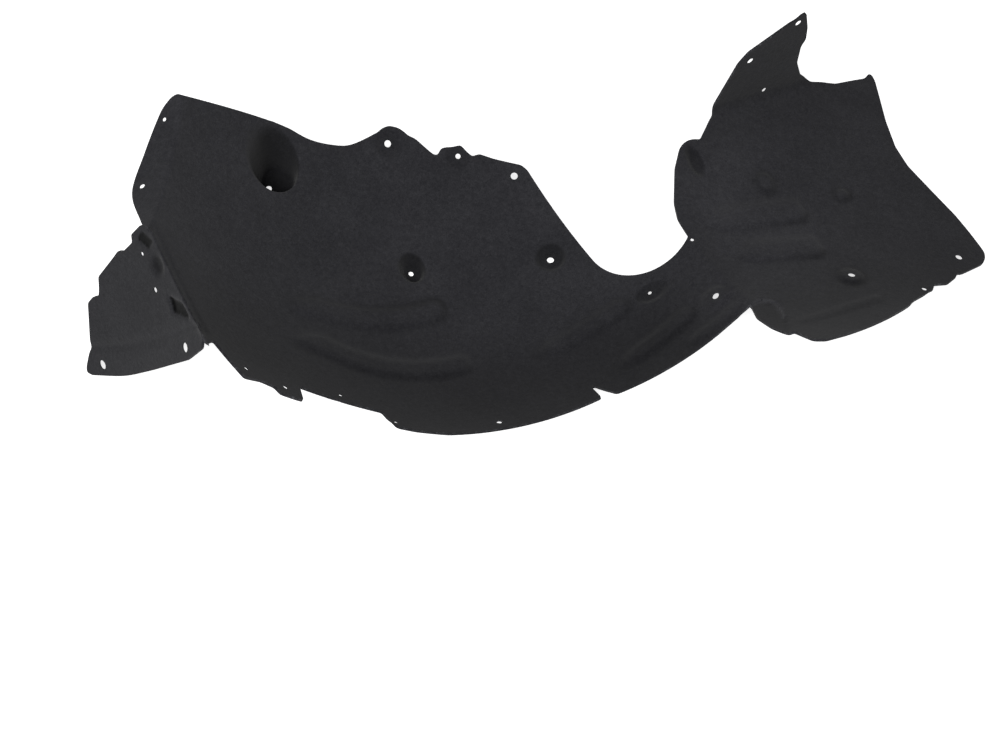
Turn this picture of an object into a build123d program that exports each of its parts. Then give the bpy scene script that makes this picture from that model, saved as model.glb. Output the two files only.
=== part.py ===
import os
from math import atan, cos, degrees, radians, sin, sqrt, tan

from build123d import *

os.makedirs("parts", exist_ok=True)

# Wheel arch liner pressed from one sheet of felt, lying with its wheel side up.
# Millimetres, +Z up. The drawing origin is on the floor under the crown of the arch;
# X runs along the liner, Y from the outer wing edge (negative) to the inner edge.

# Sheet and the dish that goes over the wheel
sheet = 3.0
arch_radius = 425.0
section_radius = 325.0
arch_left = 68.0
arch_right = 44.0
section_out = 42.0
section_in = 40.0

# Folds. Both long folds lie at the same angle in plan
fold_turn = 28.0
bead_radius = 2.4
left_fold = Vector(-367.0, -38.0)
left_fold_length = 120.0
ridge_top = Vector(-346.5, 124.5)
right_fold = Vector(197.0, 61.0)
right_fold_length = 125.0

# Flap below the left fold and the rim beside it
flap_drop = 63.0
flap_run = 262.0
flap_step = 2.4
rim_drop = 19.0
rim_run = 55.0

# Right panel with its upright tongue
panel_run = 345.0
panel_far = 2.5
panel_out = -245.0
bend_start = 126.0
bend_radius = 14.0
tongue_top = 175.0

# Pressed shapes: strengthening beads and raised seats
bead_height = 4.0
bead_width = 24.0
bead_draft = 38.0
bead_root = 6.0
boss_height = 4.0
well_depth = 44.0
oval_depth = 14.0

# Fixing holes
clip = 4.0
screw = 3.0
pin = 2.2
stud = 5.2
sink_radius = 14.0
sink_depth = 1.0
sink_reach = 8.0
dent_depth = 2.0
dent_reach = 10.0

up = Vector(0, 0, 1)
run = Vector(cos(radians(fold_turn)), sin(radians(fold_turn)))
inward = Vector(-sin(radians(fold_turn)), cos(radians(fold_turn)))


def dish_rise(y):
    return section_radius - sqrt(section_radius**2 - y**2)


def dish_height(p):
    return sheet + arch_radius - sqrt((arch_radius - dish_rise(p.Y)) ** 2 - p.X**2)


def dish_seat(x, y, turn=0.0):
    # Plane lying on the wheel side of the dish
    reach = sqrt((arch_radius - dish_rise(y)) ** 2 - x**2)
    slope_x = x / reach
    slope_y = (arch_radius - dish_rise(y)) / reach * y / sqrt(section_radius**2 - y**2)
    spot = Vector(x, y, dish_height(Vector(x, y)))
    return Plane(spot, x_dir=(1, 0, slope_x), z_dir=(-slope_x, -slope_y, 1)).rotated((0, 0, turn))


class FoldLine:
    # Straight in plan, and in height the parabola that follows the dish below it
    def __init__(self, start, along, length):
        self.start, self.along = start, along
        h0, h1, h2 = [dish_height(start + along * d) for d in (0, length / 2, length)]
        self.bend = 2 * (h0 - 2 * h1 + h2) / length**2
        self.lean = (h2 - h0) / length - self.bend * length
        self.low = h0

    def height(self, d):
        return self.low + self.lean * d + self.bend * d * d

    def slope(self, d):
        return self.lean + 2 * self.bend * d

    def point(self, d):
        return self.start + self.along * d + up * self.height(d)

    def corners(self, d0, d1):
        # Ends of the curve and, between them, the point where its end tangents meet
        half = (d1 - d0) / 2
        between = (d0 + half, self.height(d0) + half * self.slope(d0))
        return (d0, self.height(d0)), between, (d1, self.height(d1))


left_line = FoldLine(left_fold, -inward, left_fold_length)
ridge_run = (ridge_top - left_fold).normalized()
ridge_line = FoldLine(left_fold, ridge_run, (ridge_top - left_fold).length)
right_line = FoldLine(right_fold, inward, -right_fold_length)


def folded_strip(line, d0, d1, drop):
    # Upright section of the sheet along a fold, deeper than the sheet because the strip is drawn out slanting
    deep = sheet / cos(radians(drop))
    with BuildSketch(Plane(line.start, x_dir=line.along, z_dir=line.along.cross(up))) as strip:
        with BuildLine():
            a, b, c = line.corners(d0, d1)
            Bezier(a, b, c)
            Line(c, (c[0], c[1] - deep))
            Bezier((c[0], c[1] - deep), (b[0], b[1] - deep), (a[0], a[1] - deep))
            Line((a[0], a[1] - deep), a)
        make_face()
    return strip.sketch


# Dish: the sheet's cross section turned about the axle line
axle_height = sheet + arch_radius
start_side = Vector(-sin(radians(arch_left)), 0, -cos(radians(arch_left)))


def dish_layer(inner, outer):
    with BuildPart() as layer:
        section_plane = Plane((0, 0, axle_height), x_dir=(0, 1, 0), z_dir=Vector(0, 1, 0).cross(start_side))
        with BuildSketch(section_plane):
            with BuildLine():
                middle = (0, arch_radius - section_radius)
                near = CenterArc(middle, inner, 90 - section_in, section_in + section_out)
                far = CenterArc(middle, outer, 90 - section_in, section_in + section_out)
                Line(near @ 0, far @ 0)
                Line(near @ 1, far @ 1)
            make_face()
        revolve(axis=Axis((0, 0, axle_height), (0, -1, 0)), revolution_arc=arch_left + arch_right)
    return layer.part


with BuildPart() as dish_trim:
    with BuildSketch(Plane.XY.offset(-60)):
        with BuildLine():
            fold_foot = left_line.point(left_fold_length)
            fold_end = right_line.point(-right_fold_length)
            ThreePointArc((fold_end.X, fold_end.Y), (176, -103), (112, -133))
            Polyline((112, -133), (101, -126), (88, -117), (86, -119), (96, -137))
            ThreePointArc((96, -137), (17, -173), (-65, -197))
            Polyline((-65, -197), (-98, -198), (-119, -196), (-125, -188), (-135, -172), (-178, -168))
            Polyline((-178, -168), (-218, -164), (-211, -189), (-232, -190), (-239, -181), (-252, -180))
            Polyline((-252, -180), (-265, -188), (-299, -146))
            Polyline((-299, -146), (-304, -161), (fold_foot.X, fold_foot.Y), (left_fold.X, left_fold.Y))
            Line((left_fold.X, left_fold.Y), (ridge_top.X, ridge_top.Y))
            ThreePointArc((ridge_top.X, ridge_top.Y), (-303, 144), (-247, 156))
            Spline((-247, 156), (-223, 153), (-199, 156), (-179, 162), (-150, 180))
            ThreePointArc((-150, 180), (-131, 189), (-117, 184))
            Polyline((-117, 184), (-108, 182), (-88, 170), (-83, 170), (-79, 177), (-57, 183), (-44, 172))
            Polyline((-44, 172), (-36, 175), (-20, 171), (12, 165), (19, 160), (91, 57))
            ThreePointArc((91, 57), (138, 29), (right_fold.X, right_fold.Y))
            Line((right_fold.X, right_fold.Y), (fold_end.X, fold_end.Y))
        make_face()
    extrude(amount=400)

# Beads pressed up out of the dish: the seat at the middle of each, then three points of its centre line
dish_beads = [
    (dish_seat(-149, -26), ((-72, -11), (0, -4), (70, 20))),
    (dish_seat(-127, -94), ((-76, 8), (-2, -4), (78, 14))),
    (dish_seat(91, -30), ((-38, -23), (0, 1), (37, 24))),
    (dish_seat(168, -56), ((-28, -21), (0, 1), (27, 21))),
]


def bead_block(seat, ends):
    with BuildPart() as block:
        with BuildSketch(seat.offset(-bead_root)):
            with BuildLine():
                centre = ThreePointArc(*ends)
            SlotArc(centre, bead_width + 2 * bead_root * tan(radians(bead_draft)))
        extrude(amount=bead_root + 3 * bead_height, taper=bead_draft)
    return block.part


def well(seat, rim, floor, depth, top, wall):
    # Drafted oval well; rim and floor are its half axes at the seat and at the full depth
    mouth = [r + (r - f) * top / depth for r, f in zip(rim, floor)]
    with BuildPart() as form:
        with BuildSketch(seat.offset(top)):
            Ellipse(mouth[0] + wall, mouth[1] + wall)
        with BuildSketch(seat.offset(-depth - wall)):
            Ellipse(floor[0] + wall, floor[1] + wall)
        loft()
    return form.part


def boss(seat, base, top, height):
    # Raised round seat, which starts a little below the face it stands on
    with BuildPart(seat.offset(-1)) as form:
        Cone(base + (base - top) / height, top, height + 1, align=(Align.CENTER, Align.CENTER, Align.MIN))
    return form.part


def drill(seat, radius, reach=12.0):
    with BuildPart(seat) as tool:
        Cylinder(radius, 2 * reach)
    return tool.part


def punch(seat, corners, reach=14.0):
    with BuildPart() as tool:
        with BuildSketch(seat):
            with BuildLine():
                Polyline(*corners, close=True)
            make_face()
        extrude(amount=reach, both=True)
    return tool.part


# Pockets pressed into the dish: seat, half axes at the rim and at the floor, depth, height cleared above
well_seat = Plane((-260, 116, dish_height(Vector(-260, 116))))
round_seat = Plane((45, 64, dish_height(Vector(45, 64))))
oval_seat = dish_seat(-111, 44, -15)
dish_pockets = [
    (well_seat, (23.5, 29.5), (17, 21), well_depth, 40),
    (oval_seat, (13, 16), (8, 10), oval_depth, 6),
    (round_seat, (17, 17), (12, 12), 8, 8),
    (dish_seat(156, 4, 24), (18, 11.5), (13, 7), 5, 4),
]
neck_seat = dish_seat(221, -26)

wheel_side = dish_layer(section_radius - 90, section_radius + sheet / 2)
raised = dish_layer(section_radius - bead_height, section_radius + sheet / 2)
hollowed = dish_layer(section_radius + sheet - bead_height, section_radius + sheet + 1)
pocket_walls = [well(*pocket, sheet) - wheel_side for pocket in dish_pockets]
bead_tops = [raised & bead_block(seat, ends) for seat, ends in dish_beads]
bead_hollows = [hollowed & bead_block(seat.offset(-sheet), ends) for seat, ends in dish_beads]

with BuildPart() as dish:
    add(dish_layer(section_radius, section_radius + sheet))
    add(dish_trim.part, mode=Mode.INTERSECT)
    add(pocket_walls + bead_tops + [boss(neck_seat, 15, 10, boss_height)])
    add([well(*pocket, 0) for pocket in dish_pockets] + bead_hollows, mode=Mode.SUBTRACT)
    add(boss(neck_seat.offset(-sheet), 15, 10, boss_height), mode=Mode.SUBTRACT)


# Right panel: straight rules run from the right fold down to a level far edge; its inner edge turns up
def panel_height(s, w):
    return (1 - s / panel_run) * right_line.height(w) + s / panel_run * panel_far


def panel_seat(s, w, turn=0.0):
    along = run + up * ((panel_far - right_line.height(w)) / panel_run)
    across = inward + up * ((1 - s / panel_run) * right_line.slope(w))
    spot = right_fold + run * s + inward * w + up * panel_height(s, w)
    return Plane(spot, x_dir=along, z_dir=along.cross(across)).rotated((0, 0, turn))


def panel_section(s):
    share = 1 - s / panel_run
    half = (bend_start - panel_out) / 2
    lean_out = atan(share * right_line.slope(panel_out))
    lean_in = atan(share * right_line.slope(bend_start))
    middle = (lean_out + lean_in) / 2
    a = Vector(panel_out, panel_height(s, panel_out))
    b = Vector(panel_out + half, a.Y + half * tan(lean_out))
    c = Vector(bend_start, panel_height(s, bend_start))
    below_a = a + Vector(sin(lean_out), -cos(lean_out)) * sheet
    below_b = b + Vector(sin(middle), -cos(middle)) * (sheet / cos((lean_in - lean_out) / 2))
    below_c = c + Vector(sin(lean_in), -cos(lean_in)) * sheet
    centre = c + Vector(-sin(lean_in), cos(lean_in)) * bend_radius
    halfway = (lean_in + radians(90)) / 2
    outward = Vector(sin(halfway), -cos(halfway))
    with BuildSketch(Plane(right_fold + run * s, x_dir=inward, z_dir=run)) as section:
        with BuildLine():
            Bezier(a, b, c)
            inner_end = centre + Vector(bend_radius, 0)
            ThreePointArc(c, centre + outward * bend_radius, inner_end)
            Line(inner_end, (inner_end.X, tongue_top))
            Line((inner_end.X, tongue_top), (inner_end.X + sheet, tongue_top))
            Line((inner_end.X + sheet, tongue_top), inner_end + Vector(sheet, 0))
            ThreePointArc(inner_end + Vector(sheet, 0), centre + outward * (bend_radius + sheet), below_c)
            Bezier(below_c, below_b, below_a)
            Line(below_a, a)
        make_face()
    return section.sketch


with BuildPart() as panel_trim:
    with BuildSketch(Plane(right_fold - up * 60, x_dir=run, z_dir=up)):
        with BuildLine():
            low = -right_fold_length
            Polyline((0, low), (0, 0), (1, 24), (9, 46), (33, 85), (50, 104))
            ThreePointArc((50, 104), (64, 111), (80, 108))
            Polyline((80, 108), (98, 122), (104, 128), (252, 128), (254, 136), (266, 134))
            Spline((266, 134), (284, 128), (308, 126), (325, 124))
            Polyline((325, 124), (334, 129), (337, 126), (335, 116), (311, 58), (299, 20), (296, -10))
            Line((296, -10), (304, -92))
            ThreePointArc((304, -92), (304, -122), (302, -152))
            ThreePointArc((302, -152), (297, -161), (287, -168))
            Polyline((287, -168), (253, -173), (247, -171), (244, -175), (225, -182), (208, -178))
            Line((208, -178), (202, -185))
            Polyline((202, -185), (166, -194), (155, -200))
            ThreePointArc((155, -200), (103, -215), (47, -226))
            Polyline((47, -226), (16, -229), (5, -223), (2, -197), (-4, -197), (-9, -174), (-9, -148))
            Line((-9, -148), (0, low))
        make_face()
    extrude(amount=300)
    with BuildSketch(Plane(right_fold + inward * 152, x_dir=run, z_dir=-inward)):
        with BuildLine():
            Polyline((104, -4), (110, 50), (141, 125), (153, 138), (220, 164), (226, 165), (232, 137))
            Line((232, 137), (233, 116))
            Polyline((233, 116), (228, 106), (227, 78), (236, 50), (252, 30), (258, -4), (104, -4))
        make_face()
    extrude(amount=26)

with BuildPart() as panel_sheet:
    add(panel_section(-14))
    add(panel_section(panel_run))
    loft(ruled=True)

# The lip at the panel's outer corner is pressed back by the same small step as the flap's border
lip_seat = Plane(right_fold, x_dir=run, z_dir=up)
lip_outside = [(-20, -210), (-20, -126)]
lip_cut = [(0, -126), (14, -125), (26, -137), (17, -158), (2, -189), (-4, -197)]
lip_joint = [(-4, -122), (15, -121), (30, -137), (21, -159), (6, -190), (-4, -197)]
lip_sheet = panel_sheet.part.moved(Location((0, 0, -flap_step)))


def panel_bead(seat, length):
    with BuildPart() as block:
        with BuildSketch(seat.offset(-1)):
            SlotOverall(length, bead_width + 2 * tan(radians(bead_draft)))
        extrude(amount=bead_height + 1, taper=bead_draft)
    return block.part


panel_beads = [(panel_seat(82, -1, -12), 128), (panel_seat(66, -52, -18), 128)]
panel_bosses = [
    (panel_seat(124, 31), 14, 11, 3),
    (panel_seat(197, -17), 9.5, 4, boss_height),
    (panel_seat(128, -132), 14, 8, boss_height),
]
oblong = (panel_seat(61, 86, -8), (9, 21), (5, 15), 6)
panel_tops = [panel_bead(*bead) for bead in panel_beads] + [boss(*form) for form in panel_bosses]
panel_hollows = [panel_bead(seat.offset(-sheet), length) for seat, length in panel_beads]
boss_hollows = [boss(seat.offset(-sheet), *size) for seat, *size in panel_bosses]

with BuildPart() as panel:
    add(panel_sheet.part)
    add(panel_trim.part, mode=Mode.INTERSECT)
    add(punch(lip_seat, lip_cut + lip_outside, 300), mode=Mode.SUBTRACT)
    add(lip_sheet & panel_trim.part & punch(lip_seat, lip_joint + lip_outside, 300))
    add(panel_tops + [well(*oblong, -sheet / 2, sheet)])
    add(panel_hollows + boss_hollows + [well(*oblong, 4, 0)], mode=Mode.SUBTRACT)

# Flap: drawn out from the left fold, straight down the slope; its lower border is pressed back a little
fall = -run * cos(radians(flap_drop)) - up * sin(radians(flap_drop))
flap_face = Plane(left_line.point(0), x_dir=fall, z_dir=fall.cross(-inward))


def flap_seat(down, along, turn=0.0):
    s = down + (left_line.height(along) - left_line.low) * sin(radians(flap_drop))
    across = -inward + up * left_line.slope(along)
    spot = left_line.point(along) + fall * s
    return Plane(spot, x_dir=fall, z_dir=fall.cross(across)).rotated((0, 0, turn))


with BuildPart() as flap_sheet:
    extrude(folded_strip(left_line, -48, 145, flap_drop), amount=flap_run, dir=fall)

with BuildPart() as flap:
    add(flap_sheet.part)
    with BuildPart(mode=Mode.INTERSECT):
        with BuildSketch(flap_face.offset(-70)):
            with BuildLine():
                Polyline((-30, 0), (8, -12), (29, -18), (35, -13), (55, -19), (61, -25), (73, -27))
                Line((73, -27), (112, -35))
                Polyline((112, -35), (122, -30), (133, -26), (141, -32), (154, -35), (197, -15))
                ThreePointArc((197, -15), (113, 56), (24, 120))
                Polyline((24, 120), (-30, 120), (-30, 0))
            make_face()
        extrude(amount=140)

with BuildPart() as flap_border:
    add(flap_sheet.part.moved(Location(flap_face.z_dir * -flap_step)))
    with BuildPart(mode=Mode.INTERSECT):
        with BuildSketch(flap_face.offset(-70)):
            with BuildLine():
                Polyline((190, -18), (206, -14), (234, -9), (239, -6), (235, 2))
                Spline((235, 2), (192, 40), (153, 67), (110, 94), (75, 116))
                Polyline((75, 116), (41, 129), (20, 122))
                ThreePointArc((20, 122), (108, 51), (190, -18))
            make_face()
        extrude(amount=140)

# Rim: narrow strip that rolls over from the dish's left edge
across_ridge = Vector(-ridge_run.Y, ridge_run.X)
roll = across_ridge * cos(radians(rim_drop)) - up * sin(radians(rim_drop))

with BuildPart() as rim:
    extrude(folded_strip(ridge_line, -20, 180, rim_drop), amount=rim_run, dir=roll)
    with BuildPart(mode=Mode.INTERSECT):
        with BuildSketch(Plane.XY.offset(-60)):
            with BuildLine():
                Line((left_fold.X, left_fold.Y), (-378, -27))
                Spline((-378, -27), (-396, 26), (-386, 75), (-371, 112), (-359, 125))
                Polyline((-359, 125), (-350, 131), (ridge_top.X, ridge_top.Y), (left_fold.X, left_fold.Y))
            make_face()
        extrude(amount=400)


def fold_bead(line, d0, d1):
    # Round ridge along a fold, on the circle through the fold's ends and middle
    arc = Edge.make_three_point_arc(*[line.point(d) - up * (sheet / 2) for d in (d0, (d0 + d1) / 2, d1)])
    across = (arc @ 0 - arc.arc_center).cross(arc % 0)
    with BuildPart() as bead:
        with BuildSketch(Plane(arc @ 0, z_dir=arc % 0)):
            Circle(bead_radius)
        revolve(axis=Axis(arc.arc_center, across), revolution_arc=degrees(arc.length / arc.radius))
    return bead.part


def rim_seat(along, down):
    x_dir = ridge_run + up * ridge_line.slope(along)
    return Plane(ridge_line.point(along) + roll * down, x_dir=x_dir, z_dir=roll.cross(x_dir))


def tongue_seat(s, z):
    return Plane(right_fold + run * s + inward * (bend_start + bend_radius - 2) + up * z, z_dir=-inward)


# Fixing holes, each square to the sheet where it is
bores = [
    (dish_seat(-139, 173), clip),
    (dish_seat(-60, 172), screw),
    (dish_seat(4, 154), clip),
    (oval_seat.offset(-oval_depth), screw),
    (round_seat, clip),
    (dish_seat(154, 4), pin),
    (neck_seat, clip),
    (dish_seat(193, 56), pin),
    (dish_seat(-267, -169), screw),
    (dish_seat(-230, -175), screw),
    (dish_seat(-178, -159), pin),
    (dish_seat(-120, -188), pin),
    (dish_seat(-13, -171), screw),
    (panel_seat(128, -132), screw),
    (panel_seat(267, -150), clip),
    (panel_seat(192, -181), screw),
    (tongue_seat(217, 153), clip),
    (tongue_seat(157, 122), clip),
    (tongue_seat(185, 53), screw),
    (flap_seat(209, 9), stud),
    (flap_seat(68, 105), stud),
    (flap_seat(36, 3), pin),
    (flap_seat(56, 36), screw),
    (rim_seat(67, 29), screw),
    (Plane(well_seat.from_local_coords((-6, -10, -well_depth))), clip),
]

# Shallow ring seats round two of the clip holes, angular dents beside the left fold, and a slit in the rim
sunk_seats = [dish_seat(-139, 173), dish_seat(-60, 172)]
sinks = [drill(seat.offset(sink_reach - sink_depth), sink_radius, sink_reach) for seat in sunk_seats]
upper_dent = flap_seat(10, 0).offset(dent_reach - dent_depth)
lower_dent = flap_seat(38, 76).offset(dent_reach - dent_depth)
slots = [
    punch(upper_dent, [(7, -14), (-4, -8), (-9, 16), (5, 7)], dent_reach),
    punch(lower_dent, [(4, -20), (-8, 2), (-8, 26), (15, -8)], dent_reach),
    punch(rim_seat(142, 18), [(-3.5, -1.3), (3.5, -1.3), (3.5, 1.3), (-3.5, 1.3)], 8),
]

fold_beads = [
    fold_bead(left_line, 0, left_fold_length),
    fold_bead(ridge_line, 0, (ridge_top - left_fold).length),
    fold_bead(right_line, -right_fold_length, 0),
]

with BuildPart() as liner:
    add([dish.part, panel.part, flap.part, flap_border.part, rim.part] + fold_beads)
    add([drill(seat, radius) for seat, radius in bores] + slots + sinks, mode=Mode.SUBTRACT)

# The finished liner is set with its origin at the bottom centre of its box
box = liner.part.bounding_box()
with BuildPart() as wheel_arch_liner:
    add(liner.part.moved(Location((-box.center().X, -box.center().Y, -box.min.Z))))

wheel_arch_liner.part.label = "wheel_arch_liner"
export_step(wheel_arch_liner.part, "parts/wheel_arch_liner.step")
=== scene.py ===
import math

import bpy
import numpy as np
from mathutils.geometry import delaunay_2d_cdt
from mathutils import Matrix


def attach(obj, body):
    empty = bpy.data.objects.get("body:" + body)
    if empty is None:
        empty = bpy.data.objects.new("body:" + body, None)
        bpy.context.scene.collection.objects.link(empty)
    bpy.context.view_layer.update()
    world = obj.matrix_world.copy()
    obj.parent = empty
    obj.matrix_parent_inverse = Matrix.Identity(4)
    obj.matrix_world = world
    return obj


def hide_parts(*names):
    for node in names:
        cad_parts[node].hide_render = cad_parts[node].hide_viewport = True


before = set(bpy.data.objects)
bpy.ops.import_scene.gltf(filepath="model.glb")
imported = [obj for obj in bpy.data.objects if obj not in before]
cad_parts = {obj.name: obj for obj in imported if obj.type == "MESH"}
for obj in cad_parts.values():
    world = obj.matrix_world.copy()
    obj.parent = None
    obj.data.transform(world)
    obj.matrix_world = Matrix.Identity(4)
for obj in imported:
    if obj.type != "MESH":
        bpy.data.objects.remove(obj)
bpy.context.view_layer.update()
print("frame loaded:", sorted(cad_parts))

# The liner is one pressed sheet. Its flat pattern is worked out in millimetres, in plan, with the flap,
# rim and tongue laid open beside the folds that carry them; each form function then lifts it to its place.
liner = {
    "sheet": 3.0,
    "archRadius": 425.0,
    "sectionRadius": 325.0,
    "foldTurn": 28.0,
    "leftFold": (-367.0, -38.0),
    "leftLength": 120.0,
    "ridgeTop": (-346.5, 124.5),
    "rightFold": (197.0, 61.0),
    "rightLength": 125.0,
    "flapDrop": 63.0,
    "rimDrop": 19.0,
    "borderStep": 2.0,
    "borderGroove": 4.0,
    "borderLine": ((210.0, -15.0), (24.0, 114.0)),
    "borderBow": -5.9,
    "lipStep": 3.2,
    "panelRun": 345.0,
    "panelFar": 2.5,
    "bendStart": 126.0,
    "bendRadius": 14.0,
    "slitRay": (-12.0, 9.0),       # cut between rim and flap, out from the fold's corner
    "lipSlope": 0.75,              # cut between neck and panel lip, across per along
    "frameShift": (-35.18, -66.85),
    "gridStep": 4.0,
    "edgeStep": 2.5,
    "softRadius": 3.0,             # how far an edge is rounded by the thickness of the felt
    "pressedShare": 0.5,           # thickness left round a hole, where the felt is squeezed
    "edgeRound": 0.5,
    "edgeAngle": 55.0,             # sharper turns than this are rounded
    "bluntEnd": 0.8,               # reach of a bead past its last end, in widths of its outer flank
    "gentleEnd": 2.4,              # and before its first end
    "flankShare": 0.6,             # part of a bead's half width that slopes
    "dentShrink": 0.93,
    "grooveRun": (10.0, 9.0),      # where the flap's groove starts before its line, and how it deepens
    "grooveEnd": 2.5,
    "flapFade": 9.0,               # the flap's forms run out over this distance from the fold
    "lipReach": -30.0,             # the panel reaches this far back past the fold at its lip
    "lipHinge": -175.0,            # past this line across the panel the lip is joined to it
    "creaseSteps": (1.4, 1.2),     # length of a mesh edge round a dent and along the lip's cut
    "dentGrid": 1.7,
    "squeezeReach": 9.0,           # how far round a hole the felt is squeezed
}

sheet = liner["sheet"]
turn = math.radians(liner["foldTurn"])
run = np.array((math.cos(turn), math.sin(turn)))
inward = np.array((-math.sin(turn), math.cos(turn)))
leftFold = np.array(liner["leftFold"])
rightFold = np.array(liner["rightFold"])
ridgeVector = np.array(liner["ridgeTop"]) - leftFold
ridgeRun = ridgeVector / np.linalg.norm(ridgeVector)
acrossRidge = np.array((-ridgeRun[1], ridgeRun[0]))


def smoothStep(t):
    t = np.clip(t, 0.0, 1.0)
    return t * t * (3.0 - 2.0 * t)


# Wheel side of the dish: an arc of the section radius, turned about the axle line at the arch radius
def dishHeight(x, y):
    section = liner["sectionRadius"]
    level = liner["archRadius"] - section + np.sqrt(np.maximum(section**2 - y**2, 1.0))
    return sheet + liner["archRadius"] - np.sqrt(np.maximum(level**2 - x**2, 1.0))


# Height along a fold: the parabola through the dish at the fold's two ends and its middle
def foldCurve(start, along, length):
    spots = start + np.outer((0.0, length / 2, length), along)
    low, middle, high = dishHeight(spots[:, 0], spots[:, 1])
    bend = 2 * (low - 2 * middle + high) / length**2
    return low, (high - low) / length - bend * length, bend


def foldHeight(curve, d):
    return curve[0] + curve[1] * d + curve[2] * d * d


leftCurve = foldCurve(leftFold, -inward, liner["leftLength"])
ridgeCurve = foldCurve(leftFold, ridgeRun, np.linalg.norm(ridgeVector))
rightCurve = foldCurve(rightFold, inward, -liner["rightLength"])


# Even-odd test: a point is inside where a level line from it meets the outline an odd number of times
def insideOutline(p, outline):
    odd = np.zeros(len(p), bool)
    for (ax, ay), (bx, by) in zip(outline, np.roll(outline, -1, axis=0)):
        crosses = (ay > p[:, 1]) != (by > p[:, 1])
        odd ^= crosses & (p[:, 0] < ax + (p[:, 1] - ay) * (bx - ax) / (by - ay if by != ay else 1.0))
    return odd


# Place along and beside a line between two ends that bows sideways as a parabola: overrun and offset
def besideLine(p, a, b, bow):
    a, b = np.array(a), np.array(b)
    length = np.linalg.norm(b - a)
    along = (b - a) / length
    d = (p - a) @ along
    share = np.clip(d / length, 0.0, 1.0)
    side = (p - a) @ np.array((-along[1], along[0])) - 4 * bow * share * (1 - share)
    return d - share * length, side


# Size of a point on an oval: 1 on the rim, 0 at its centre
def ovalSize(p, centre, half, turned):
    c, s = math.cos(math.radians(turned)), math.sin(math.radians(turned))
    q = p - np.array(centre)
    return np.hypot((q[:, 0] * c + q[:, 1] * s) / half[0], (q[:, 1] * c - q[:, 0] * s) / half[1])


# Raised beads: first and last end, bow, width of the inner and of the outer flank, height, then the painted
# shade at the foot of each flank, for the shading of its relief
dishBeads = [
    ((-206, -36), (-84, -8), -9.0, 17.0, 17.0, 4.0, 0.3, 0.18),
    ((-200, -88), (-54, -82), -15.0, 20.0, 15.0, 4.0, -0.08, 0.15),
    ((55, -51), (121, -10), -1.0, 15.0, 14.0, 3.6, 0.08, 0.16),
    ((141, -76), (190, -38), -1.0, 14.0, 13.0, 3.4, 0.08, 0.16),
    ((206, -70), (240, -48), -1.0, 9.0, 9.0, 2.2, 0.0, 0.16),
    ((-363.5, -36), (-307.5, -142), 0.0, 3.5, 3.5, -1.6, 0.22, 0.22),
]
panelBeads = [
    ((60, -4), (133, -22), 0.0, 30.0, 14.0, 4.0, 0.0, 0.34),
    ((62, -59), (118, -78), 0.0, 30.0, 14.0, 4.0, -0.06, 0.3),
    ((36, -180), (128, -176), 0.0, 7.0, 9.0, 1.6, -0.12, 0.12),
]

# Ovals pressed square to the sheet: centre, half axes, turn, share of the floor, depth (raised if negative)
dishOvals = [
    ((-111, 44), (15, 18.5), 14, 0.62, 14.0),
    ((156, 4), (19, 12.5), 24, 0.62, 5.0),
    ((221, -26), (16, 16), 0, 0.62, -4.0),
    ((-139, 173), (14.5, 14.5), 0, 0.86, 1.6),
    ((-60, 172), (14.5, 14.5), 0, 0.86, 1.6),
]
panelOvals = [
    ((122, 31), (11.5, 16), -15, 0.72, -3.0),
    ((197, -17), (10, 10), 0, 0.35, -4.0),
    ((128, -132), (15, 15), 0, 0.58, -4.0),
    ((61, 86), (10, 22), -8, 0.6, 6.0),
]
flapOvals = [((29, 26), (13, 11), 30, 0.5, 3.6)]

# Angular dents beside the left fold: corners down and along the flap, and depth
flapDents = [
    (((27, -11), (12, -9), (9, 10), (24, 9)), 1.2),
    (((44, 53), (32, 75), (34, 97), (55, 70)), 4.0),
]

# Pockets pressed straight down: centre, half axes, turn, floor share at the steep and at the soft side,
# depth, and how the floor climbs towards the soft side
softWay = np.array((0.5, 0.866))
levelPockets = [
    ((-260, 120), (25.5, 32.0), -12, 0.78, 0.42, 44.0, 0.3),
    ((45, 64), (17.0, 17.0), 0, 0.82, 0.82, 7.0, 0.0),
]


# How far a point is from a bead: 0 on its line, 1 at its foot. Beads start gently and stop short
def beadSize(p, a, b, bow, inner, outer):
    over, side = besideLine(p, a, b, bow)
    inside = side > 0
    ends = np.where(over > 0, liner["bluntEnd"] * outer, liner["gentleEnd"] * outer)
    return np.hypot(over / ends, side / np.where(inside, inner, outer)), inside


# Beads have a flat top and smooth flanks, ovals have straight walls
def pressedForms(p, beads, ovals):
    lift = np.zeros(len(p))
    for a, b, bow, inner, outer, height, *footShades in beads:
        away = beadSize(p, a, b, bow, inner, outer)[0]
        lift += height * smoothStep((1 - away) / liner["flankShare"])
    for centre, half, turned, floor, depth in ovals:
        lift -= depth * np.clip((1 - ovalSize(p, centre, half, turned)) / (1 - floor), 0, 1)
    return lift


def dishForm(p):
    x, y = p[:, 0], p[:, 1]
    z = dishHeight(x, y)
    slopeX = dishHeight(x + 1, y) - z
    slopeY = dishHeight(x, y + 1) - z
    z = z + pressedForms(p, dishBeads, dishOvals) * np.sqrt(1 + slopeX**2 + slopeY**2)
    for centre, half, turned, steep, soft, depth, climb in levelPockets:
        reach = (p - np.array(centre)) @ softWay
        facing = np.maximum(reach / np.maximum(np.hypot(*(p - np.array(centre)).T), 0.1), 0) ** 2
        floor = steep + (soft - steep) * facing
        level = dishHeight(np.array([centre[0]]), np.array([centre[1]]))[0] - depth + climb * reach
        wall = np.clip((1 - ovalSize(p, centre, half, turned)) / (1 - floor), 0, 1)
        z = z - np.maximum(z - level, 0) * wall
    return np.column_stack((x, y, z))


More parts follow.
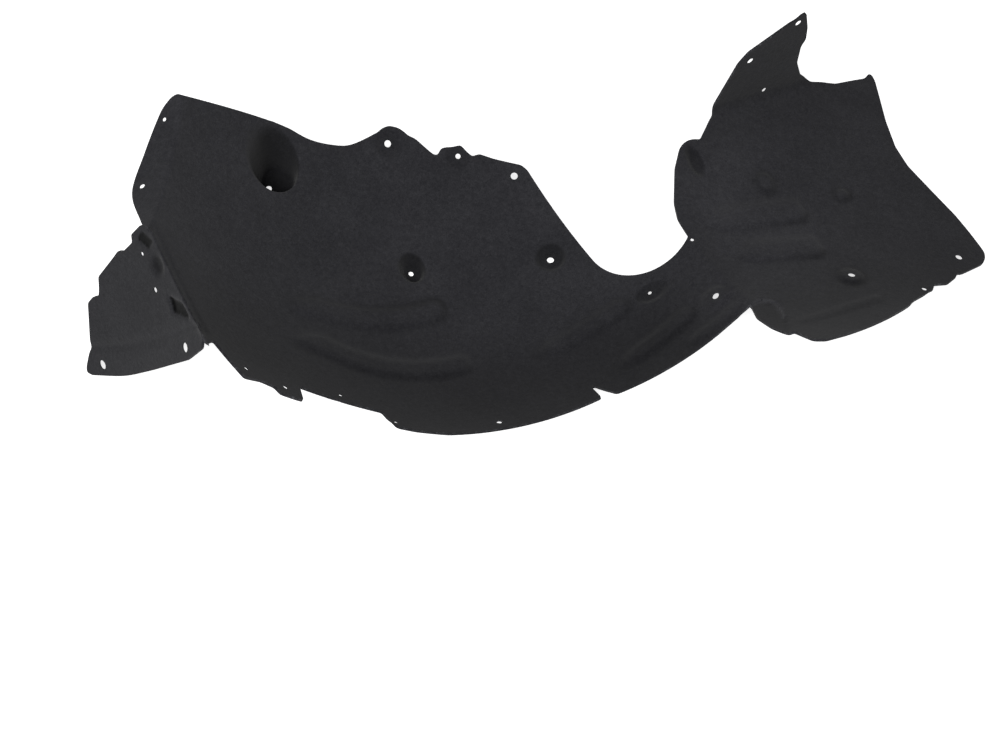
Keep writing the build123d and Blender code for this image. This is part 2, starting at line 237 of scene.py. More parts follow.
# Lip of the panel: the area inside this line, pressed back by a step
lipLine = [(0, -126), (14, -125), (26, -137), (17, -158), (2, -189), (-4, -197), (-30, -215), (-30, -126)]


# Panel: straight rules from the right fold to a level far edge; past the bend the inner edge turns upright
def panelForm(p):
    s, w = (p - rightFold) @ run, (p - rightFold) @ inward
    radius, start = liner["bendRadius"], liner["bendStart"]
    share = 1 - s / liner["panelRun"]
    flat = np.minimum(w, start)
    sw = np.column_stack((s, flat))
    z = share * foldHeight(rightCurve, flat) + (1 - share) * liner["panelFar"]
    z = z + pressedForms(sw, panelBeads, panelOvals)
    lean = np.arctan(share * (rightCurve[1] + 2 * rightCurve[2] * start))
    past = np.maximum(w - start, 0.0)
    angle = np.minimum(lean + past / radius, math.pi / 2)
    upright = np.maximum(past - radius * (math.pi / 2 - lean), 0.0)
    across = flat + radius * (np.sin(angle) - np.sin(lean)) * (past > 0)
    rise = (radius * (np.cos(lean) - np.cos(angle)) + upright) * (past > 0)
    plan = rightFold + np.outer(s, run) + np.outer(across, inward)
    return np.column_stack((plan, z + rise))


def lipForm(p):
    return panelForm(p) - np.array((0, 0, liner["lipStep"]))


# Flap: drawn out from the left fold down a steady slope; a groove that deepens slowly and ends at once
# sets off its lower border. All its forms run out before the fold
flapDrop = math.radians(liner["flapDrop"])
flapFall = np.append(-run * math.cos(flapDrop), -math.sin(flapDrop))
flapOut = np.cross(flapFall, np.append(-inward, 0.0))


# An outline drawn in a little towards its middle, so that points on the line itself count as outside
def shrunk(corners):
    middle = np.mean(corners, axis=0)
    return middle + (np.array(corners) - middle) * liner["dentShrink"]


def onFlap(p):
    t, along = -(p - leftFold) @ run, -(p - leftFold) @ inward
    return np.column_stack((t - math.sin(flapDrop) * (foldHeight(leftCurve, along) - leftCurve[0]), along))


def flapForm(p):
    t, along = -(p - leftFold) @ run, -(p - leftFold) @ inward
    height = foldHeight(leftCurve, along)
    local = onFlap(p)
    beyond = -besideLine(local, *liner["borderLine"], liner["borderBow"])[1]
    before, deepens = liner["grooveRun"]
    groove = smoothStep((beyond + before) / deepens)
    lift = pressedForms(local, [], flapOvals) - liner["borderGroove"] * groove
    lift += (liner["borderGroove"] - liner["borderStep"]) * smoothStep(beyond / liner["grooveEnd"])
    for corners, depth in flapDents:
        lift -= depth * insideOutline(local, shrunk(corners))
    lift *= smoothStep(t / liner["flapFade"])
    plan = leftFold - np.outer(along, inward)
    return np.column_stack((plan, height)) + np.outer(t, flapFall) + np.outer(lift, flapOut)


# Rim: rolled over from the ridge of the dish's left edge
rimDrop = math.radians(liner["rimDrop"])
rimRoll = np.append(acrossRidge * math.cos(rimDrop), -math.sin(rimDrop))


def rimForm(p):
    d, out = (p - leftFold) @ ridgeRun, (p - leftFold) @ acrossRidge
    plan = leftFold + np.outer(d, ridgeRun)
    return np.column_stack((plan, foldHeight(ridgeCurve, d))) + np.outer(out, rimRoll)


forms = [dishForm, panelForm, lipForm, flapForm, rimForm]
dishArea, panelArea, lipArea, flapArea, rimArea = range(5)


# Which area of the sheet a point of the flat pattern belongs to
def areaOf(p):
    s, w = (p - rightFold) @ run, (p - rightFold) @ inward
    q = p - leftFold
    below = liner["slitRay"][0] * q[:, 1] - liner["slitRay"][1] * q[:, 0] > 0
    area = np.full(len(p), dishArea)
    besideNeck = (s > liner["lipReach"]) & (w < liner["lipSlope"] * s - liner["rightLength"])
    area[(s > 0) | besideNeck] = panelArea
    area[(area == panelArea) & insideOutline(np.column_stack((s, w)), np.array(lipLine))] = lipArea
    area[(-q @ run > 0) & below] = flapArea
    area[(q @ acrossRidge > 0) & ~below] = rimArea
    return area


def formed(p, area):
    place = np.empty((len(p), 3))
    for k, form in enumerate(forms):
        chosen = area == k
        if chosen.any():
            place[chosen] = form(p[chosen])
    return place


# Thick felt has no sharp creases: each point takes the mean of the form over a small disc of the pattern,
# which stays on its own side of the cuts
def pressed(p):
    area = areaOf(p)
    across = (p - rightFold) @ inward
    total = np.zeros((len(p), 3))
    weights = 0.0
    for radius, count, weight in ((0.0, 1, 2.0), (0.5, 6, 1.0), (1.0, 10, 0.8)):
        for angle in np.arange(count) * 2 * math.pi / count + radius:
            q = p + liner["softRadius"] * radius * np.array((math.cos(angle), math.sin(angle)))
            there = areaOf(q)
            low, high = np.minimum(area, there), np.maximum(area, there)
            torn = (low == flapArea) & (high == rimArea)
            torn |= (low == panelArea) & (high == lipArea) & (across > liner["lipHinge"])
            torn |= (low == dishArea) & (high == lipArea)
            total += weight * formed(q, np.where(torn, area, there))
            weights += weight
    return total / weights


# Flat pattern points from the places where they are known
def fromPanel(points):
    sw = np.array(points, float)
    radius, start = liner["bendRadius"], liner["bendStart"]
    lean = np.arctan((1 - sw[:, 0] / liner["panelRun"]) * (rightCurve[1] + 2 * rightCurve[2] * start))
    bent = np.arcsin(np.clip((sw[:, 1] - start) / radius + np.sin(lean), -1, 1)) - lean
    w = np.where(sw[:, 1] > start, start + radius * bent, sw[:, 1])
    return rightFold + np.outer(sw[:, 0], run) + np.outer(w, inward)


def fromTongue(points):
    sz = np.array(points, float)
    radius, start = liner["bendRadius"], liner["bendStart"]
    share = 1 - sz[:, 0] / liner["panelRun"]
    lean = np.arctan(share * (rightCurve[1] + 2 * rightCurve[2] * start))
    foot = share * foldHeight(rightCurve, start) + (1 - share) * liner["panelFar"]
    rise = sz[:, 1] - foot
    angle = np.arccos(np.clip(np.cos(lean) - rise / radius, 0, 1))
    w = start + radius * (angle - lean) + np.maximum(rise - radius * np.cos(lean), 0)
    return rightFold + np.outer(sz[:, 0], run) + np.outer(w, inward)


def fromFlap(points):
    da = np.array(points, float)
    t = da[:, 0] + math.sin(flapDrop) * (foldHeight(leftCurve, da[:, 1]) - leftCurve[0])
    return leftFold - np.outer(t, run) - np.outer(da[:, 1], inward)


def fromPlan(points):
    return np.array(points, float)


def fromRim(points):
    q = np.array(points, float) - leftFold
    out = (q @ acrossRidge) / math.cos(rimDrop)
    return leftFold + np.outer(q @ ridgeRun, ridgeRun) + np.outer(out, acrossRidge)


# Arc of a circle through three points, and a smooth curve through many
def arc(a, b, c, count=24):
    a, b, c = (np.array(v, float) for v in (a, b, c))
    left = 2 * np.array((b - a, c - a))
    middle = np.linalg.solve(left, np.array((b @ b - a @ a, c @ c - a @ a)))
    ang = np.unwrap(np.arctan2(*(np.array((a, b, c)) - middle).T[::-1]))
    sweep = np.linspace(ang[0], ang[2], count)
    return middle + np.linalg.norm(a - middle) * np.column_stack((np.cos(sweep), np.sin(sweep)))


def curve(points, count=60):
    p = np.array(points, float)
    p = np.vstack((2 * p[0] - p[1], p, 2 * p[-1] - p[-2]))
    at = np.linspace(0, len(p) - 3, count)
    k = np.minimum(at.astype(int), len(p) - 4)
    f = (at - k)[:, None]
    a, b, c, d = p[k], p[k + 1], p[k + 2], p[k + 3]
    return 0.5 * (2 * b + (c - a) * f + (2 * a - 5 * b + 4 * c - d) * f**2 + (3 * b - a - 3 * c + d) * f**3)


foldEnd = rightFold - inward * liner["rightLength"]
foldFoot = leftFold - inward * liner["leftLength"]
outline = np.vstack((
    arc(foldEnd, (176, -103), (112, -133)),
    fromPlan([(101, -126), (88, -117), (86, -119)]),
    arc((96, -137), (17, -173), (-65, -197)),
    fromPlan([(-98, -198), (-119, -196), (-125, -188), (-135, -172)]),
    fromPlan([(-178, -168), (-218, -164), (-211, -189)]),
    fromPlan([(-232, -190), (-239, -181), (-252, -180), (-265, -188), (-299, -146), (-304, -161), foldFoot]),
    fromFlap([(41, 129)]),
    fromFlap(curve([(75, 116), (110, 94), (153, 67), (192, 40), (235, 2)])),
    fromFlap([(239, -6), (234, -9), (206, -14), (197, -15), (154, -35), (141, -32), (133, -26), (122, -30)]),
    fromFlap([(112, -35), (73, -27), (61, -25), (55, -19), (35, -13), (29, -18), (8, -12)]),
    fromPlan([leftFold]),
    fromRim(curve([(-378, -27), (-396, 26), (-386, 75), (-371, 112), (-359, 125)])),
    fromRim([(-352, 127)]),
    arc(liner["ridgeTop"], (-303, 144), (-256, 154.5)),
    curve([(-244, 155), (-223, 153), (-199, 156), (-179, 162), (-150, 180)]),
    arc((-150, 180), (-131, 189), (-117, 184))[1:],
    fromPlan([(-108, 182), (-88, 170), (-83, 170), (-79, 177)]),
    fromPlan([(-57, 183), (-44, 172), (-36, 175), (-20, 171)]),
    fromPlan([(12, 165), (19, 160)]),
    arc((91, 57), (138, 29), rightFold),
    fromPanel([(1, 24), (9, 46), (33, 85)]),
    fromPanel(arc((50, 104), (64, 111), (80, 108))),
    fromPanel([(98, 122), (104, 127)]),
    fromTongue([(111, 58), (141, 125), (153, 138), (220, 164)]),
    fromTongue([(226, 165), (232, 137), (233, 116), (228, 106)]),
    fromTongue([(227, 78), (236, 50), (252, 30)]),
    fromPanel([(266, 134)]),
    fromPanel(curve([(284, 128), (308, 126), (325, 124)], 20)),
    fromPanel([(334, 129), (337, 126), (335, 116), (311, 58), (299, 20), (296, -10)]),
    fromPanel(arc((304, -92), (304, -122), (302, -152))),
    fromPanel(arc((302, -152), (297, -161), (287, -168), 8)[1:]),
    fromPanel([(253, -173), (247, -171), (244, -175), (225, -182), (208, -178), (202, -185), (166, -194)]),
    fromPanel(arc((155, -200), (103, -215), (47, -226))),
    fromPanel([(16, -229), (5, -223), (2, -197), (-4, -197), (-9, -174), (-9, -148)]),
))

# Round holes: where each one is on the pattern, and its radius
clip, screw, pin, stud = 4.0, 3.0, 2.2, 5.2
holes = [
    (fromPlan([(-139, 173)]), clip),
    (fromPlan([(-60, 172)]), screw),
    (fromPlan([(4, 154)]), clip),
    (fromPlan([(-112.5, 44)]), screw),
    (fromPlan([(45, 64)]), clip),
    (fromPlan([(154, 6)]), pin),
    (fromPlan([(221, -26)]), clip),
    (fromPlan([(201, 56)]), pin),
    (fromPlan([(-267, -169)]), screw),
    (fromPlan([(-230, -175)]), screw),
    (fromPlan([(-178, -159)]), pin),
    (fromPlan([(-120, -188)]), pin),
    (fromPlan([(-13, -171)]), screw),
    (fromPlan([(-271, 113)]), clip),
    (fromPanel([(128, -132)]), clip),
    (fromPanel([(267, -150)]), clip),
    (fromPanel([(192, -181)]), screw),
    (fromTongue([(217, 153)]), clip),
    (fromTongue([(157, 122)]), clip),
    (fromTongue([(185, 53)]), screw),
    (fromFlap([(209, 9)]), stud),
    (fromFlap([(68, 105)]), stud),
    (fromFlap([(36, 3)]), pin),
    (fromFlap([(56, 36)]), screw),
    (fromRim([(-385.6, 32.3)]), screw),
    (fromRim([(-366, 105)]), pin),
]


# A narrow loop of the given width along a line of points
def thinLoop(points, width):
    line = np.array(points, float)
    way = np.gradient(line, axis=0)
    side = np.column_stack((-way[:, 1], way[:, 0])) / np.linalg.norm(way, axis=1)[:, None] * width / 2
    return np.vstack((line + side, (line - side)[::-1]))


# The lip's cut is drawn closed: a loop of mesh edges along it keeps the step sharp
lipPath = [(1.5, -126.5), (7, -125), (14, -125.5), (20, -130), (25, -137), (21, -148), (14, -164)]
lipCut = fromPanel(thinLoop(lipPath, 0.9))


# A closed line cut into even lengths
def evenLine(points, step):
    closed = np.vstack((points, points[:1]))
    reach = np.concatenate(([0], np.cumsum(np.linalg.norm(np.diff(closed, axis=0), axis=1))))
    count = max(12, int(round(reach[-1] / step)))
    at = np.arange(count) * reach[-1] / count
    line = np.column_stack((np.interp(at, reach, closed[:, 0]), np.interp(at, reach, closed[:, 1])))
    return (np.roll(line, 1, axis=0) + 2 * line + np.roll(line, -1, axis=0)) / 4


# A hole that is round on the sheet is an oval on the pattern: the inverse root of the stretch there
def roundHole(centre, radius, count=28):
    d = 1.5
    probe = pressed(centre + np.array(((d, 0), (-d, 0), (0, d), (0, -d))))
    slope = np.array(((probe[0] - probe[1]) / (2 * d), (probe[2] - probe[3]) / (2 * d)))
    size, way = np.linalg.eigh(slope @ slope.T)
    squeeze = way @ np.diag(size**-0.5) @ way.T
    angle = np.arange(count) * 2 * math.pi / count
    return centre + radius * np.column_stack((np.cos(angle), np.sin(angle))) @ squeeze


# Rows of extra points where the form turns quickly
def rowsAlong(start, end, offsets, step=4.0):
    start, end = np.array(start, float), np.array(end, float)
    length = np.linalg.norm(end - start)
    along = (end - start) / length
    side = np.array((-along[1], along[0]))
    d, off = np.meshgrid(np.arange(step / 2, length, step), offsets)
    return start + np.outer(d.ravel(), along) + np.outer(off.ravel(), side)


def ringsRound(centre, half, turned, sizes, step=2.6):
    count = int(2 * math.pi * max(half) / step)
    size, angle = np.meshgrid(sizes, np.arange(count) * 2 * math.pi / count)
    x, y = (size * np.cos(angle)).ravel() * half[0], (size * np.sin(angle)).ravel() * half[1]
    c, s = math.cos(math.radians(turned)), math.sin(math.radians(turned))
    return np.array(centre) + np.column_stack((x * c - y * s, x * s + y * c))


# The pattern: edges, creases, the extra rows and a three-way grid in what is left, joined by triangles
def sheetPattern():
    loops = [evenLine(outline, liner["edgeStep"])]
    loops += [roundHole(centre, radius) for centre, radius in holes]
    dentStep, cutStep = liner["creaseSteps"]
    creases = [evenLine(fromFlap(corners), dentStep) for corners, depth in flapDents]
    creases.append(evenLine(lipCut, cutStep))
    edges, first = [], 0
    for loop in loops + creases:
        k = first + np.arange(len(loop))
        edges.append(np.column_stack((k, np.roll(k, -1))))
        first += len(loop)
    offsets = (-6, -4, -2, 0, 2, 4, 6)
    grooveOffsets = (-10, -8, -6, -4, -2, 0, 2, 4, 6)
    extra = [
        rowsAlong(leftFold, foldFoot, offsets),
        rowsAlong(leftFold, liner["ridgeTop"], offsets),
        rowsAlong(rightFold, foldEnd, offsets),
        rowsAlong(*fromPanel([(104, 133), (262, 133)]), (-8, -5.5, -3, -0.5, 2, 4.5, 7, 9.5, 12)),
        rowsAlong(*fromFlap([(205, -11), (115, 58)]), grooveOffsets, 3.0),
        rowsAlong(*fromFlap([(115, 58), (30, 110)]), grooveOffsets, 3.0),
        rowsAlong(*dishBeads[-1][:2], (-3.5, -1.8, 0, 1.8, 3.5), 3.0),
    ]
    for centre, half, turned, *rest in levelPockets:
        extra.append(ringsRound(centre, half, turned, np.arange(0.35, 1.2, 1.6 / max(half))))
    for corners, depth in flapDents:
        low, high = np.min(corners, axis=0) - 4, np.max(corners, axis=0) + 4
        fine = np.meshgrid(*(np.arange(low[k], high[k], liner["dentGrid"]) for k in range(2)))
        extra.append(fromFlap(np.column_stack([side.ravel() for side in fine])))
    for centre, half, turned, *rest in dishOvals:
        extra.append(ringsRound(centre, half, turned, np.arange(0.4, 1.25, 1.6 / max(half))))
    for centre, half, turned, *rest in panelOvals:
        rings = ringsRound(centre, half, turned, np.arange(0.4, 1.25, 1.8 / max(half)))
        extra.append(rightFold + rings @ np.array((run, inward)))
    step = liner["gridStep"]
    low, high = outline.min(axis=0) - step, outline.max(axis=0) + step
    rows = np.arange(0, (high[1] - low[1]) / (step * 0.866))
    col, row = np.meshgrid(np.arange(low[0], high[0], step), rows)
    grid = np.column_stack(((col + (row % 2) * step / 2).ravel(), (low[1] + row * step * 0.866).ravel()))

    # cells near a point that is already placed are closed to the ones that come after it
    cell = 1.0
    size = ((high - low) / cell).astype(int) + 8
    taken = np.zeros(size, bool)

    def cellOf(p):
        return tuple(np.clip(((p - low) / cell).astype(int) + 3, 2, size - 3).T)

    def close(p, reach):
        i, j = cellOf(p)
        for di in range(-reach, reach + 1):
            for dj in range(-reach, reach + 1):
                if di * di + dj * dj <= reach * reach:
                    taken[np.clip(i + di, 0, size[0] - 1), np.clip(j + dj, 0, size[1] - 1)] = True

    kept = loops + creases
    close(np.vstack(kept), 1)
    for more in extra:
        more = more[~taken[cellOf(more)]]
        kept.append(more)
        close(more, 1)
    close(np.vstack(kept), 2)
    kept.append(grid[~taken[cellOf(grid)]])
    points = np.vstack(kept)

    def onSheet(p):
        inside = insideOutline(p, loops[0])
        for loop in loops[1:]:
            inside &= ~insideOutline(p, loop)
        return inside

    wanted = onSheet(points)
    wanted[:first] = True
    found = delaunay_2d_cdt(points[wanted].tolist(), np.vstack(edges).tolist(), [], 1, 1e-5)
    corners = np.array([tuple(corner) for corner in found[0]])
    faces = np.array(found[2])
    return corners, faces[onSheet(corners[faces].mean(axis=1))]


def meshFrom(name, verts, faces):
    mesh = bpy.data.meshes.new(name)
    mesh.vertices.add(len(verts))
    mesh.vertices.foreach_set("co", np.ascontiguousarray(verts, np.float32).ravel())
    mesh.loops.add(faces.size)
    mesh.loops.foreach_set("vertex_index", faces.astype(np.int32).ravel())
    mesh.polygons.add(len(faces))
    mesh.polygons.foreach_set("loop_start", np.arange(0, faces.size, 3, dtype=np.int32))
    mesh.polygons.foreach_set("use_smooth", np.ones(len(faces), bool))
    mesh.update(calc_edges=True)
    mesh.validate()
    piece = bpy.data.objects.new(name, mesh)
    bpy.context.scene.collection.objects.link(piece)
    return piece


pattern, triangles = sheetPattern()
a, b, c = (pattern[triangles[:, k]] for k in range(3))
area = (b - a)[:, 0] * (c - a)[:, 1] - (b - a)[:, 1] * (c - a)[:, 0]
triangles = np.where((area > 0)[:, None], triangles, triangles[:, ::-1])
place = pressed(pattern)
place[:, :2] += np.array(liner["frameShift"])
linerPiece = meshFrom("moulded_liner", place / 1000.0, triangles)

# Painted shade and light: how much darker each form's felt colour is painted, as a share of its colour
# (painted light if negative), and how far the painted borders reach in millimetres
paintedShading = {
    "deepOval": 0.56,
    "shallowOval": 0.24,
    "ringSeat": 0.16,
    "pocket": 0.4,
    "well": 0.8,
    "wellFar": 0.45,               # share that the well loses towards its soft side
    "dent": 0.9,
    "bump": 0.4,
    "dishBorder": 0.42,
    "dishReach": (10.0, 130.0),    # where the border starts and how wide it is
    "neckTurn": 0.45,              # the border turns inward along the neck
    "foldFade": 90.0,
    "panelBorder": 0.24,
    "panelReach": (90.0, 90.0),
    "panelMiddle": -0.22,
    "lip": 0.16,
    "tongue": 0.22,
    "flap": 0.16,
    "cutEdge": 0.8,                # lighter, along the lip's cut
    "cutWidth": 1.6,
    "beadStart": 0.55,             # share of a bead's shade at its gentle end
    "beadGrows": 0.75,
    "least": 0.06,
}
farSide = np.array((0.8, 0.6))
paintedShadowSide = np.array((-0.5, 0.8))


# Painted shade in the dish's ovals and wells, as shade falls in a recess: darker further inside the rim
def dishPocketShade(p):
    dark = np.zeros(len(p))
    for centre, half, turned, floor, depth in dishOvals:
        deep = paintedShading["deepOval"] if depth > 9 else paintedShading["shallowOval"] if depth > 3 else paintedShading["ringSeat"]
        dark += (depth > 0) * deep * smoothStep((1.04 - ovalSize(p, centre, half, turned)) / 0.16)
    for centre, half, turned, steep, soft, depth, climb in levelPockets:
        rim = smoothStep((1.04 - ovalSize(p, centre, half, turned)) / 0.14)
        # the well's painted shade is lighter towards its far side
        far = np.clip((p - np.array(centre)) @ farSide / half[1], 0, 1) * paintedShading["wellFar"]
        dark += rim * (paintedShading["well"] * (1 - far) if steep > soft else paintedShading["pocket"])
    return dark


# Painted shade in the flap's dents and oval, and painted shadow round each panel bump's foot, mostly below
# it
def otherPocketShade(local, onPanel):
    dark = np.zeros(len(local))
    for corners, depth in flapDents:
        dark += paintedShading["dent"] * insideOutline(local, shrunk(corners))
    for centre, half, turned, *rest in flapOvals:
        dark += paintedShading["pocket"] * smoothStep((1 - ovalSize(local, centre, half, turned)) / 0.4)
    for centre, half, turned, floor, depth in panelOvals:
        size = ovalSize(onPanel, centre, half, turned)
        foot = smoothStep((size - 0.45) / 0.3) * smoothStep((1.45 - size) / 0.4)
        under = 0.5 - 0.5 * np.tanh(((onPanel - np.array(centre)) @ paintedShadowSide) / half[1])
        inside = smoothStep((1.05 - size) / 0.3)
        dark += paintedShading["pocket"] * inside if depth > 0 else paintedShading["bump"] * foot * (0.4 + 0.6 * under)
    return dark


# Painted shade along the outer borders, on the lip, the tongue and the flap, and painted light in the
# panel's
# middle, for how light falls on them: smooth steps in millimetres across the sheet
def borderShade(p, onPanel, areas):
    s, w = onPanel.T
    start, width = paintedShading["dishReach"]
    outside = smoothStep((paintedShading["neckTurn"] * np.maximum(p[:, 0], 0) - p[:, 1] - start) / width)
    dark = paintedShading["dishBorder"] * outside * smoothStep(-s / paintedShading["foldFade"]) * (areas == dishArea)
    start, width = paintedShading["panelReach"]
    wholePanel = (areas == panelArea) | (areas == lipArea)
    dark += paintedShading["panelBorder"] * smoothStep((-w - start) / width) * wholePanel
    middle = smoothStep(s / 40) * smoothStep((240 - s) / 160)
    middle *= smoothStep((w + 130) / 80) * smoothStep((115 - w) / 50)
    dark += paintedShading["panelMiddle"] * middle * (areas == panelArea)
    dark += paintedShading["lip"] * (areas == lipArea)
    dark += paintedShading["tongue"] * smoothStep((w - liner["bendStart"]) / 20) * (areas == panelArea)
    dark += paintedShading["flap"] * smoothStep(-(p - leftFold) @ run / 12) * (areas == flapArea)
    return dark


# Painted shade at the foot of each bead's flanks for the shading of its relief, more towards its blunt end
def beadShade(p, beads):
    dark = np.zeros(len(p))
    for a, b, bow, inner, outer, height, innerFootShade, outerFootShade in beads:
        away, inside = beadSize(p, a, b, bow, inner, outer)
        band = smoothStep((away - 0.3) / 0.45) * smoothStep((1.35 - away) / 0.5)
        way = np.subtract(b, a)
        share = np.clip((p - np.array(a)) @ way / np.sum(way**2), 0, 1)
        grown = paintedShading["beadStart"] + paintedShading["beadGrows"] * share
        dark += band * np.where(inside, innerFootShade, outerFootShade) * grown
    return dark


onPanel = np.column_stack(((pattern - rightFold) @ run, (pattern - rightFold) @ inward))
areas = areaOf(pattern)
# Painted shade in pockets, along borders and at bead feet, and painted light in the panel's middle
shade = 1 - dishPocketShade(pattern) - otherPocketShade(onFlap(pattern), onPanel)
shade -= borderShade(pattern, onPanel, areas)
for a, b in zip(lipPath[:-1], lipPath[1:]):
    over, side = besideLine(onPanel, a, b, 0.0)
    shade += paintedShading["cutEdge"] * smoothStep(1 - np.hypot(over, side) / paintedShading["cutWidth"]) * (shade < 1.2)
shade -= beadShade(pattern, dishBeads) * (areas == dishArea)
shade -= beadShade(onPanel, panelBeads) * (areas == panelArea)
shade = np.maximum(shade, paintedShading["least"]).astype(np.float32)
# The painted shade and light is kept on each point and scales the felt's colour
linerPiece.data.attributes.new("paintedShading", "FLOAT", "POINT").data.foreach_set("value", shade)

# Thickness: full, but squeezed round each hole
squeeze = np.ones(len(pattern))
for centre, radius in holes:
    away = np.clip((np.hypot(*(pattern - centre).T) - radius) / liner["squeezeReach"], 0, 1)
    squeeze = np.minimum(squeeze, liner["pressedShare"] + (1 - liner["pressedShare"]) * smoothStep(away))
pressGroup = linerPiece.vertex_groups.new(name="press")
pressSteps = 40
levels = np.round(squeeze * pressSteps).astype(int)
for level in np.unique(levels):
    pressGroup.add(np.flatnonzero(levels == level).tolist(), level / pressSteps, "REPLACE")
print("liner sheet:", len(place), "points,", len(triangles), "triangles")

thick = linerPiece.modifiers.new("thickness", "SOLIDIFY")
thick.thickness = sheet / 1000.0
thick.offset = -1.0
thick.vertex_group = "press"
thick.use_even_offset = False
thick.use_quality_normals = True
thick.material_offset_rim = 1
rounded = linerPiece.modifiers.new("cutEdge", "BEVEL")
rounded.width = liner["edgeRound"] / 1000.0
rounded.segments = 2
rounded.limit_method = "ANGLE"
rounded.angle_limit = math.radians(liner["edgeAngle"])
rounded.harden_normals = True


def linear(code):
    part = np.array([int(code[k:k + 2], 16) for k in (1, 3, 5)]) / 255.0
    return tuple(np.where(part <= 0.04045, part / 12.92, ((part + 0.055) / 1.055) ** 2.4)) + (1.0,)


def addNode(tree, kind, settings=None, values=None, links=None):
    node = tree.nodes.new(kind)
    for key, value in (settings or {}).items():
        setattr(node, key, value)
    for key, value in (values or {}).items():
        node.inputs[key].default_value = value
    for key, source in (links or {}).items():
        tree.links.new(source, node.inputs[key])
    return node


def newMaterial(name):
    material = bpy.data.materials.new(name)
    material.use_nodes = True
    material.node_tree.nodes.clear()
    return material, material.node_tree


# Needle felt, compression moulded: matt, cloudy charcoal with short fibres that lie every way, faint bloom
felt = {
    "deep": "#222225",
    "middle": "#2a2a2d",
    "pale": "#333336",
    "cutEdge": "#56565a",
    "stops": (0.38, 0.5, 0.63),
    "cloud": 60.0,       # mm across a cloud of fibre density
    "tuft": 6.0,         # mm between needled tufts
    "fibre": 2.2,        # mm between fibres, drawn coarser than life so that it shows
    "cloudShare": 0.2,
    "tuftShare": 0.25,
    "fibreShare": 0.55,
    "fibreBump": (0.35, 0.6),  # strength, and height in mm
    "tuftBump": (0.3, 1.2),
    "roughness": 0.96,
    "bloom": 0.08,
}


def noise(tree, place, across, detail, roughness, distortion=0.0):
    values = {"Scale": 1000 / across, "Detail": detail, "Roughness": roughness, "Distortion": distortion}
    return addNode(tree, "ShaderNodeTexNoise", None, values, {"Vector": place}).outputs[0]


def feltMaterial(name, lighter):
    material, tree = newMaterial(name)
    place = addNode(tree, "ShaderNodeTexCoord").outputs["Object"]
    cloud = noise(tree, place, felt["cloud"], 3.0, 0.55)
    tuft = noise(tree, place, felt["tuft"], 3.0, 0.6)
    fibre = noise(tree, place, felt["fibre"], 2.0, 0.65, 1.5)
    blend = {"operation": "MULTIPLY_ADD"}
    mixA = addNode(tree, "ShaderNodeMath", blend, {1: felt["cloudShare"], 2: 0.0}, {0: cloud}).outputs[0]
    mixB = addNode(tree, "ShaderNodeMath", blend, {1: felt["tuftShare"]}, {0: tuft, 2: mixA}).outputs[0]
    mixC = addNode(tree, "ShaderNodeMath", blend, {1: felt["fibreShare"]}, {0: fibre, 2: mixB}).outputs[0]
    ramp = addNode(tree, "ShaderNodeValToRGB", links={"Fac": mixC})
    stops = ramp.color_ramp.elements
    low, middle, high = felt["stops"]
    stops[0].position, stops[0].color = low, linear(felt["deep"])
    stops[1].position, stops[1].color = high, linear(felt["pale"])
    stops.new(middle).color = linear(felt["middle"])
    if lighter:
        stops[0].color, stops[2].color = linear(felt["middle"]), linear(lighter)
    # Painted shade and light from the sheet's points scales the felt colour
    share = addNode(tree, "ShaderNodeAttribute", {"attribute_name": "paintedShading"})
    links = {0: ramp.outputs[0], "Scale": share.outputs["Fac"]}
    paintedShadeColour = addNode(tree, "ShaderNodeVectorMath", {"operation": "SCALE"}, None, links)
    strength, height = felt["fibreBump"]
    values = {"Strength": strength, "Distance": height / 1000}
    fuzz = addNode(tree, "ShaderNodeBump", None, values, {"Height": fibre})
    strength, height = felt["tuftBump"]
    values = {"Strength": strength, "Distance": height / 1000}
    soft = addNode(tree, "ShaderNodeBump", None, values, {"Height": tuft, "Normal": fuzz.outputs[0]})
    values = {"Roughness": felt["roughness"], "Specular IOR Level": 0.0}
    values.update({"Sheen Weight": felt["bloom"], "Sheen Roughness": 0.6})
    links = {"Base Color": paintedShadeColour.outputs[0], "Normal": soft.outputs[0]}
    shader = addNode(tree, "ShaderNodeBsdfPrincipled", None, values, links)
    addNode(tree, "ShaderNodeOutputMaterial", links={"Surface": shader.outputs[0]})
    return material


linerPiece.data.materials.append(feltMaterial("needle_felt_charcoal", None))
linerPiece.data.materials.append(feltMaterial("needle_felt_cut_edge", felt["cutEdge"]))
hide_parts("wheel_arch_liner")
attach(linerPiece, "root")
print("felt done")

# Floor, light and camera
stage = {
    "floorSize": 9.0,
    "floor": "#f2f2f2",
    "floorLift": 0.7,               # glow that the camera sees, so that the floor stays white
    "world": 0.15,
    "lamps": {                      # place in metres, size and power
        "keyFront": ((-0.35, -1.7, 2.6), 1.6, 103.0),
    },
}


# 1 where the background is seen directly, mirrored or through glass, and 0 where it lights the object
def seenBare(tree):
    path = addNode(tree, "ShaderNodeLightPath").outputs
    links = {0: path["Is Camera Ray"], 1: path["Is Glossy Ray"]}
    two = addNode(tree, "ShaderNodeMath", {"operation": "ADD"}, None, links)
    links = {0: two.outputs[0], 1: path["Is Transmission Ray"]}
    return addNode(tree, "ShaderNodeMath", {"operation": "ADD", "use_clamp": True}, None, links).outputs[0]


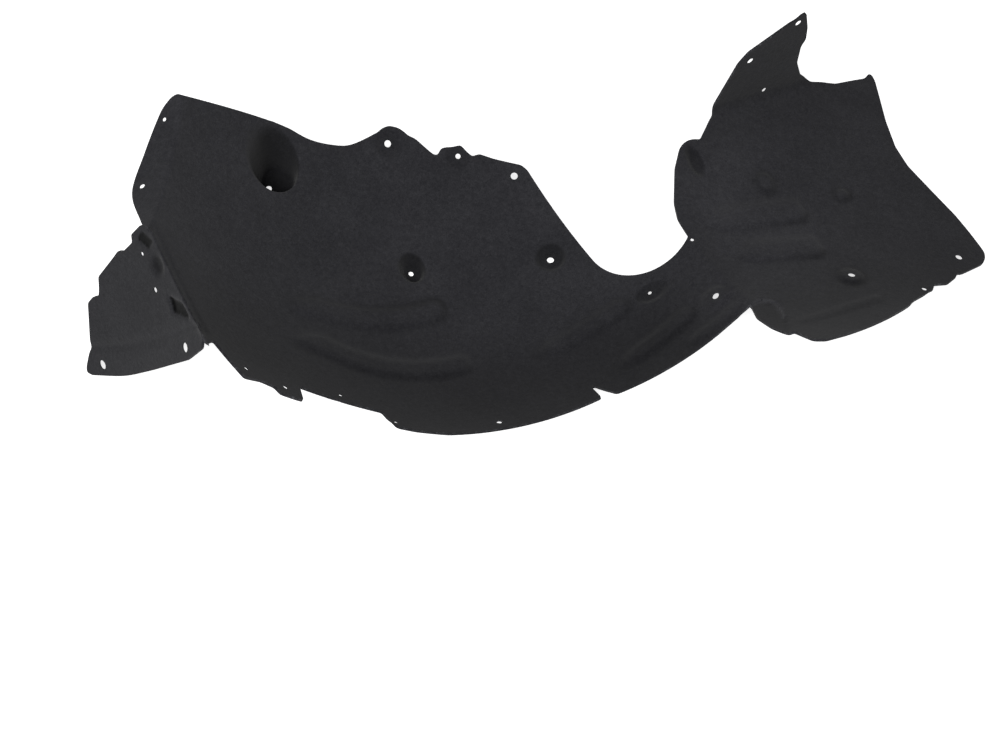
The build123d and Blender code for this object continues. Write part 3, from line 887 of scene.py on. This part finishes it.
floorMesh = bpy.data.meshes.new("floor")
half = stage["floorSize"] / 2
floorCorners = [(-half, -half, 0), (half, -half, 0), (half, half, 0), (-half, half, 0)]
floorMesh.from_pydata(floorCorners, [], [(0, 1, 2, 3)])
floorPiece = bpy.data.objects.new("floor", floorMesh)
bpy.context.scene.collection.objects.link(floorPiece)
floorMaterial, tree = newMaterial("matt_white_paper")
matt = addNode(tree, "ShaderNodeBsdfDiffuse", values={"Color": linear(stage["floor"])})
times = {"operation": "MULTIPLY"}
lift = addNode(tree, "ShaderNodeMath", times, {1: stage["floorLift"]}, {0: seenBare(tree)})
glow = addNode(tree, "ShaderNodeEmission", None, {"Color": (1, 1, 1, 1)}, {"Strength": lift.outputs[0]})
both = addNode(tree, "ShaderNodeAddShader", links={0: matt.outputs[0], 1: glow.outputs[0]})
addNode(tree, "ShaderNodeOutputMaterial", links={"Surface": both.outputs[0]})
floorMesh.materials.append(floorMaterial)

world = bpy.data.worlds.new("studio")
world.use_nodes = True
tree = world.node_tree
share = {1: 1 - stage["world"], 2: stage["world"]}
level = addNode(tree, "ShaderNodeMath", {"operation": "MULTIPLY_ADD"}, share, {0: seenBare(tree)})
tree.nodes["Background"].inputs["Color"].default_value = (1, 1, 1, 1)
tree.links.new(level.outputs[0], tree.nodes["Background"].inputs["Strength"])
bpy.context.scene.world = world

for name, (spot, size, power) in stage["lamps"].items():
    lamp = bpy.data.lights.new(name, "AREA")
    lamp.energy = power
    lamp.size = size
    lampPiece = bpy.data.objects.new(name, lamp)
    lampPiece.location = spot
    lean = math.atan2(math.hypot(spot[0], spot[1]), spot[2])
    lampPiece.rotation_euler = (lean, 0, math.atan2(spot[0], -spot[1]))
    bpy.context.scene.collection.objects.link(lampPiece)

camera = {"place": (-47.38, -1219.36, 1850.51), "tilt": 30.0, "lens": 70.0, "sensor": 36.0}
camData = bpy.data.cameras.new("camera")
camData.lens = camera["lens"]
camData.sensor_width = camera["sensor"]
camData.sensor_fit = "HORIZONTAL"
camPiece = bpy.data.objects.new("camera", camData)
camPiece.location = np.array(camera["place"]) / 1000.0
camPiece.rotation_euler = (math.radians(camera["tilt"]), 0, 0)
bpy.context.scene.collection.objects.link(camPiece)
bpy.context.scene.camera = camPiece
bpy.context.scene.view_settings.view_transform = "Standard"
print("stage set")
